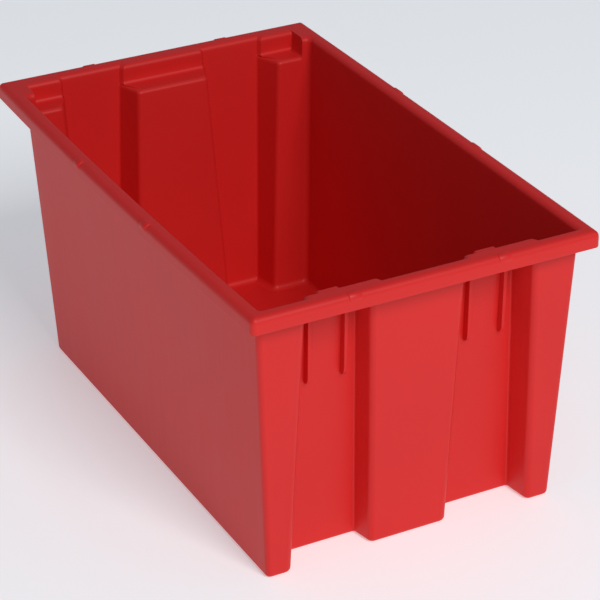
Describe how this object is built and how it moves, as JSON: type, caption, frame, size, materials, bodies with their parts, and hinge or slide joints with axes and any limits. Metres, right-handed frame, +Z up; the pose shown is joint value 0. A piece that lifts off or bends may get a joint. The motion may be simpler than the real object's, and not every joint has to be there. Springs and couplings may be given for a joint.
{
  "type": "stack-and-nest tote",
  "caption": "Open-topped plastic tote with tapering walls, ribbed ends, stacking ledges and a turned-down rim for lifting.",
  "frame": {"origin": "centre of the tote's overall footprint, on the plane its base rests on", "axes": "+Z up; +Y along the length towards the rear end, so the ribbed front end faces -Y; +X to the right across the width"},
  "size_m": [0.28, 0.4578, 0.2289],
  "materials": {
    "red_polypropylene": "semi-gloss injection-moulded polypropylene, coloured through"
  },
  "bodies": {
    "root": {"floor_panel": "red_polypropylene", "left_side_wall": "red_polypropylene", "right_side_wall": "red_polypropylene", "front_left_corner_post": "red_polypropylene", "front_right_corner_post": "red_polypropylene", "front_left_recess_panel": "red_polypropylene", "front_right_recess_panel": "red_polypropylene", "front_centre_pilaster": "red_polypropylene", "front_left_ledge": "red_polypropylene", "front_right_ledge": "red_polypropylene", "rear_centre_recess_panel": "red_polypropylene", "rear_left_corner_panel": "red_polypropylene", "rear_right_corner_panel": "red_polypropylene", "rear_left_pilaster": "red_polypropylene", "rear_right_pilaster": "red_polypropylene", "rear_left_ledge": "red_polypropylene", "rear_centre_ledge": "red_polypropylene", "rear_right_ledge": "red_polypropylene", "front_rim_rail": "red_polypropylene", "rear_rim_rail": "red_polypropylene", "left_rim_rail": "red_polypropylene", "right_rim_rail": "red_polypropylene", "front_gusset_1": "red_polypropylene", "front_gusset_2": "red_polypropylene", "front_gusset_3": "red_polypropylene", "front_gusset_4": "red_polypropylene", "rear_gusset_1": "red_polypropylene", "rear_gusset_2": "red_polypropylene", "rear_gusset_3": "red_polypropylene", "rear_gusset_4": "red_polypropylene"}
  },
  "joints": []
}
